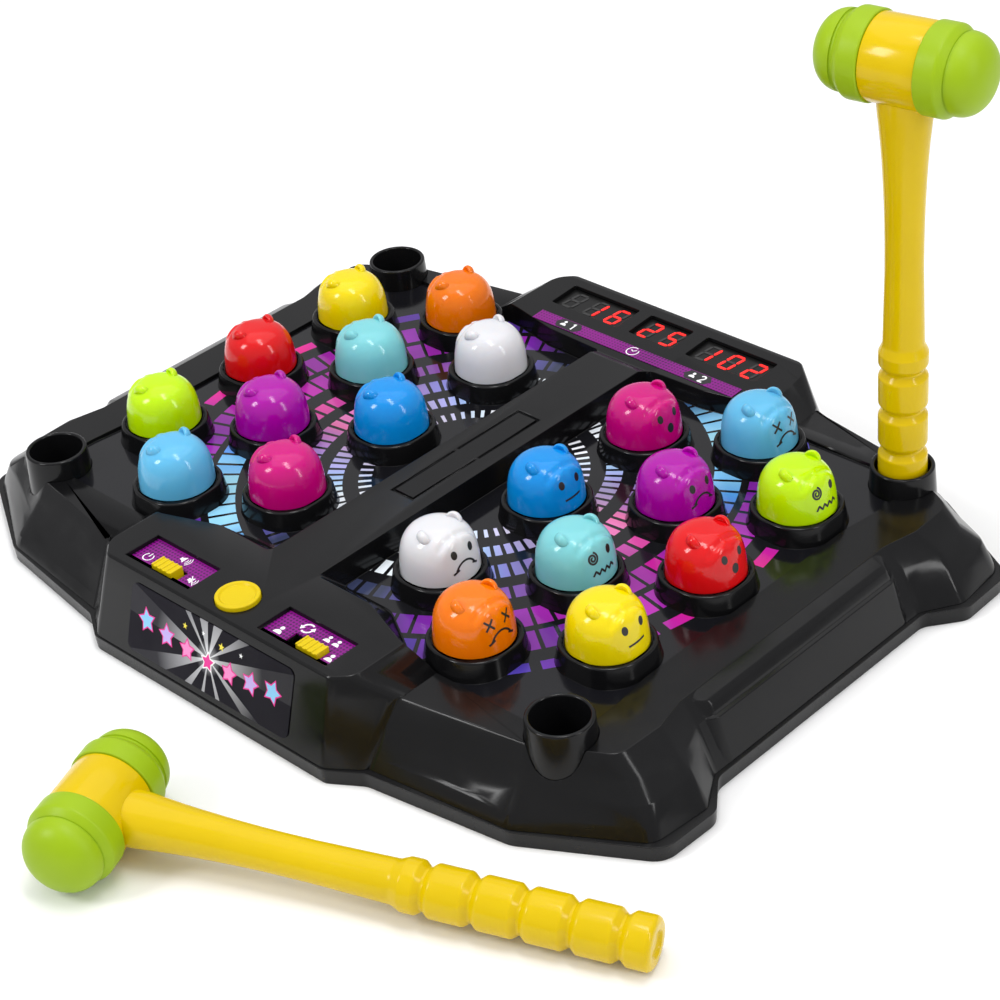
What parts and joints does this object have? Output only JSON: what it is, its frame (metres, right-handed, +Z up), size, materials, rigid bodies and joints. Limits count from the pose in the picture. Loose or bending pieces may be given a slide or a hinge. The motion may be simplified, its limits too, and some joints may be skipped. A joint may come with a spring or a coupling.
{
  "type": "mole pounding game",
  "caption": "Two-player electronic pounding game: a black board with pop-up moles in two sunk fields, a control panel, a score display and soft hammers.",
  "frame": {"origin": "middle of the tray's flat underside, on the face the board stands on", "axes": "+Z up, +X towards the second player, -Y towards the control panel, +Y towards the score display"},
  "size_m": [0.4948, 0.4751, 0.2709],
  "materials": {
    "housing_black": "moulded black plastic, satin top and glossy skirt",
    "tray_black": "moulded black plastic",
    "playfield_print": "printed film, black with coloured tiles",
    "hammer_yellow": "gloss moulded plastic",
    "hammer_lime": "soft satin vinyl",
    "control_yellow": "satin moulded plastic",
    "plate_purple": "printed plate with a fine dot pattern",
    "label_print": "printed label",
    "module_black": "dark smoked face",
    "segment_red": "lit red segment",
    "segment_dark": "unlit segment",
    "board_green": "circuit board",
    "dome_rubber": "matt rubber",
    "foot_rubber": "matt rubber",
    "screw_steel": "zinc plated",
    "contact_steel": "nickel plated",
    "cell_steel": "plain sleeve",
    "speaker_steel": "black frame",
    "lamp_clear": "clear lens",
    "mole_white": "glossy, slightly translucent plastic",
    "mole_blue": "glossy, slightly translucent plastic",
    "mole_magenta": "glossy, slightly translucent plastic",
    "mole_orange": "glossy, slightly translucent plastic",
    "mole_teal": "glossy, slightly translucent plastic",
    "mole_purple": "glossy, slightly translucent plastic",
    "mole_sky_blue": "glossy, slightly translucent plastic",
    "mole_yellow": "glossy, slightly translucent plastic",
    "mole_red": "glossy, slightly translucent plastic",
    "mole_lime": "glossy, slightly translucent plastic"
  },
  "bodies": {
    "board": {"upper_housing": "housing_black", "lower_housing": "tray_black", "battery_door": "tray_black", "battery_cells": "cell_steel", "battery_contacts": "contact_steel", "speaker": "speaker_steel", "feet": "foot_rubber", "housing_screws": "screw_steel", "board_screws": "screw_steel", "playfield_left": "playfield_print", "playfield_right": "playfield_print", "field_board_left": "board_green", "field_board_right": "board_green", "return_domes": "dome_rubber", "mole_lights": "lamp_clear", "sound_plate": "plate_purple", "mode_plate": "plate_purple", "slide_switches": "tray_black", "control_board": "board_green", "front_label": "label_print", "digit_module_left": "module_black", "digit_module_middle": "module_black", "digit_module_right": "module_black", "digit_segments_lit": "segment_red", "digit_segments_unlit": "segment_dark", "display_board": "board_green", "display_stripe": "plate_purple", "hammer_cup_front_left": "housing_black", "hammer_cup_front_right": "housing_black", "hammer_cup_rear_left": "housing_black", "hammer_cup_rear_right": "housing_black"},
    "sound_knob": {"sound_knob": "control_yellow"},
    "mode_knob": {"mode_knob": "control_yellow"},
    "start_button": {"start_button": "control_yellow"},
    "standing_hammer": {"standing_hammer_handle": "hammer_yellow", "standing_hammer_cap_a": "hammer_lime", "standing_hammer_cap_b": "hammer_lime"},
    "lying_hammer": {"lying_hammer_handle": "hammer_yellow", "lying_hammer_cap_a": "hammer_lime", "lying_hammer_cap_b": "hammer_lime"},
    "mole_right_01": {"mole_right_01": "mole_white"},
    "mole_right_02": {"mole_right_02": "mole_blue"},
    "mole_right_03": {"mole_right_03": "mole_magenta"},
    "mole_right_04": {"mole_right_04": "mole_orange"},
    "mole_right_05": {"mole_right_05": "mole_teal"},
    "mole_right_06": {"mole_right_06": "mole_purple"},
    "mole_right_07": {"mole_right_07": "mole_sky_blue"},
    "mole_right_08": {"mole_right_08": "mole_yellow"},
    "mole_right_09": {"mole_right_09": "mole_red"},
    "mole_right_10": {"mole_right_10": "mole_lime"},
    "mole_left_01": {"mole_left_01": "mole_magenta"},
    "mole_left_02": {"mole_left_02": "mole_blue"},
    "mole_left_03": {"mole_left_03": "mole_white"},
    "mole_left_04": {"mole_left_04": "mole_sky_blue"},
    "mole_left_05": {"mole_left_05": "mole_purple"},
    "mole_left_06": {"mole_left_06": "mole_teal"},
    "mole_left_07": {"mole_left_07": "mole_orange"},
    "mole_left_08": {"mole_left_08": "mole_lime"},
    "mole_left_09": {"mole_left_09": "mole_red"},
    "mole_left_10": {"mole_left_10": "mole_yellow"}
  },
  "joints": [
    {"name": "mole_right_01_press", "type": "slide", "parent": "board", "child": "mole_right_01", "axis": [0, 0, -1], "range_m": [0, 0.003], "stiffness_N_per_m": 400, "springref_m": -0.0025, "deforming": ["return_domes"]},
    {"name": "mole_right_02_press", "type": "slide", "parent": "board", "child": "mole_right_02", "axis": [0, 0, -1], "range_m": [0, 0.003], "stiffness_N_per_m": 400, "springref_m": -0.0025, "deforming": ["return_domes"]},
    {"name": "mole_right_03_press", "type": "slide", "parent": "board", "child": "mole_right_03", "axis": [0, 0, -1], "range_m": [0, 0.003], "stiffness_N_per_m": 400, "springref_m": -0.0025, "deforming": ["return_domes"]},
    {"name": "mole_right_04_press", "type": "slide", "parent": "board", "child": "mole_right_04", "axis": [0, 0, -1], "range_m": [0, 0.003], "stiffness_N_per_m": 400, "springref_m": -0.0025, "deforming": ["return_domes"]},
    {"name": "mole_right_05_press", "type": "slide", "parent": "board", "child": "mole_right_05", "axis": [0, 0, -1], "range_m": [0, 0.003], "stiffness_N_per_m": 400, "springref_m": -0.0025, "deforming": ["return_domes"]},
    {"name": "mole_right_06_press", "type": "slide", "parent": "board", "child": "mole_right_06", "axis": [0, 0, -1], "range_m": [0, 0.003], "stiffness_N_per_m": 400, "springref_m": -0.0025, "deforming": ["return_domes"]},
    {"name": "mole_right_07_press", "type": "slide", "parent": "board", "child": "mole_right_07", "axis": [0, 0, -1], "range_m": [0, 0.003], "stiffness_N_per_m": 400, "springref_m": -0.0025, "deforming": ["return_domes"]},
    {"name": "mole_right_08_press", "type": "slide", "parent": "board", "child": "mole_right_08", "axis": [0, 0, -1], "range_m": [0, 0.003], "stiffness_N_per_m": 400, "springref_m": -0.0025, "deforming": ["return_domes"]},
    {"name": "mole_right_09_press", "type": "slide", "parent": "board", "child": "mole_right_09", "axis": [0, 0, -1], "range_m": [0, 0.003], "stiffness_N_per_m": 400, "springref_m": -0.0025, "deforming": ["return_domes"]},
    {"name": "mole_right_10_press", "type": "slide", "parent": "board", "child": "mole_right_10", "axis": [0, 0, -1], "range_m": [0, 0.003], "stiffness_N_per_m": 400, "springref_m": -0.0025, "deforming": ["return_domes"]},
    {"name": "mole_left_01_press", "type": "slide", "parent": "board", "child": "mole_left_01", "axis": [0, 0, -1], "range_m": [0, 0.003], "stiffness_N_per_m": 400, "springref_m": -0.0025, "deforming": ["return_domes"]},
    {"name": "mole_left_02_press", "type": "slide", "parent": "board", "child": "mole_left_02", "axis": [0, 0, -1], "range_m": [0, 0.003], "stiffness_N_per_m": 400, "springref_m": -0.0025, "deforming": ["return_domes"]},
    {"name": "mole_left_03_press", "type": "slide", "parent": "board", "child": "mole_left_03", "axis": [0, 0, -1], "range_m": [0, 0.003], "stiffness_N_per_m": 400, "springref_m": -0.0025, "deforming": ["return_domes"]},
    {"name": "mole_left_04_press", "type": "slide", "parent": "board", "child": "mole_left_04", "axis": [0, 0, -1], "range_m": [0, 0.003], "stiffness_N_per_m": 400, "springref_m": -0.0025, "deforming": ["return_domes"]},
    {"name": "mole_left_05_press", "type": "slide", "parent": "board", "child": "mole_left_05", "axis": [0, 0, -1], "range_m": [0, 0.003], "stiffness_N_per_m": 400, "springref_m": -0.0025, "deforming": ["return_domes"]},
    {"name": "mole_left_06_press", "type": "slide", "parent": "board", "child": "mole_left_06", "axis": [0, 0, -1], "range_m": [0, 0.003], "stiffness_N_per_m": 400, "springref_m": -0.0025, "deforming": ["return_domes"]},
    {"name": "mole_left_07_press", "type": "slide", "parent": "board", "child": "mole_left_07", "axis": [0, 0, -1], "range_m": [0, 0.003], "stiffness_N_per_m": 400, "springref_m": -0.0025, "deforming": ["return_domes"]},
    {"name": "mole_left_08_press", "type": "slide", "parent": "board", "child": "mole_left_08", "axis": [0, 0, -1], "range_m": [0, 0.003], "stiffness_N_per_m": 400, "springref_m": -0.0025, "deforming": ["return_domes"]},
    {"name": "mole_left_09_press", "type": "slide", "parent": "board", "child": "mole_left_09", "axis": [0, 0, -1], "range_m": [0, 0.003], "stiffness_N_per_m": 400, "springref_m": -0.0025, "deforming": ["return_domes"]},
    {"name": "mole_left_10_press", "type": "slide", "parent": "board", "child": "mole_left_10", "axis": [0, 0, -1], "range_m": [0, 0.003], "stiffness_N_per_m": 400, "springref_m": -0.0025, "deforming": ["return_domes"]},
    {"name": "start_button_press", "type": "slide", "parent": "board", "child": "start_button", "axis": [0, 0, -1], "range_m": [0, 0.0015], "stiffness_N_per_m": 400, "springref_m": -0.001, "deforming": ["return_domes"]},
    {"name": "sound_knob_slide", "type": "slide", "parent": "board", "child": "sound_knob", "axis": [1, 0, 0], "range_m": [-0.0026, 0.0026]},
    {"name": "mode_knob_slide", "type": "slide", "parent": "board", "child": "mode_knob", "axis": [1, 0, 0], "range_m": [-0.0078, 0]},
    {"name": "standing_hammer_lift", "type": "slide", "parent": "board", "child": "standing_hammer", "axis": [0, 0, 1], "range_m": [0, 0.06]},
    {"name": "lying_hammer_lift", "type": "slide", "parent": "board", "child": "lying_hammer", "axis": [0, 0, 1], "range_m": [0, 0.06]}
  ]
}
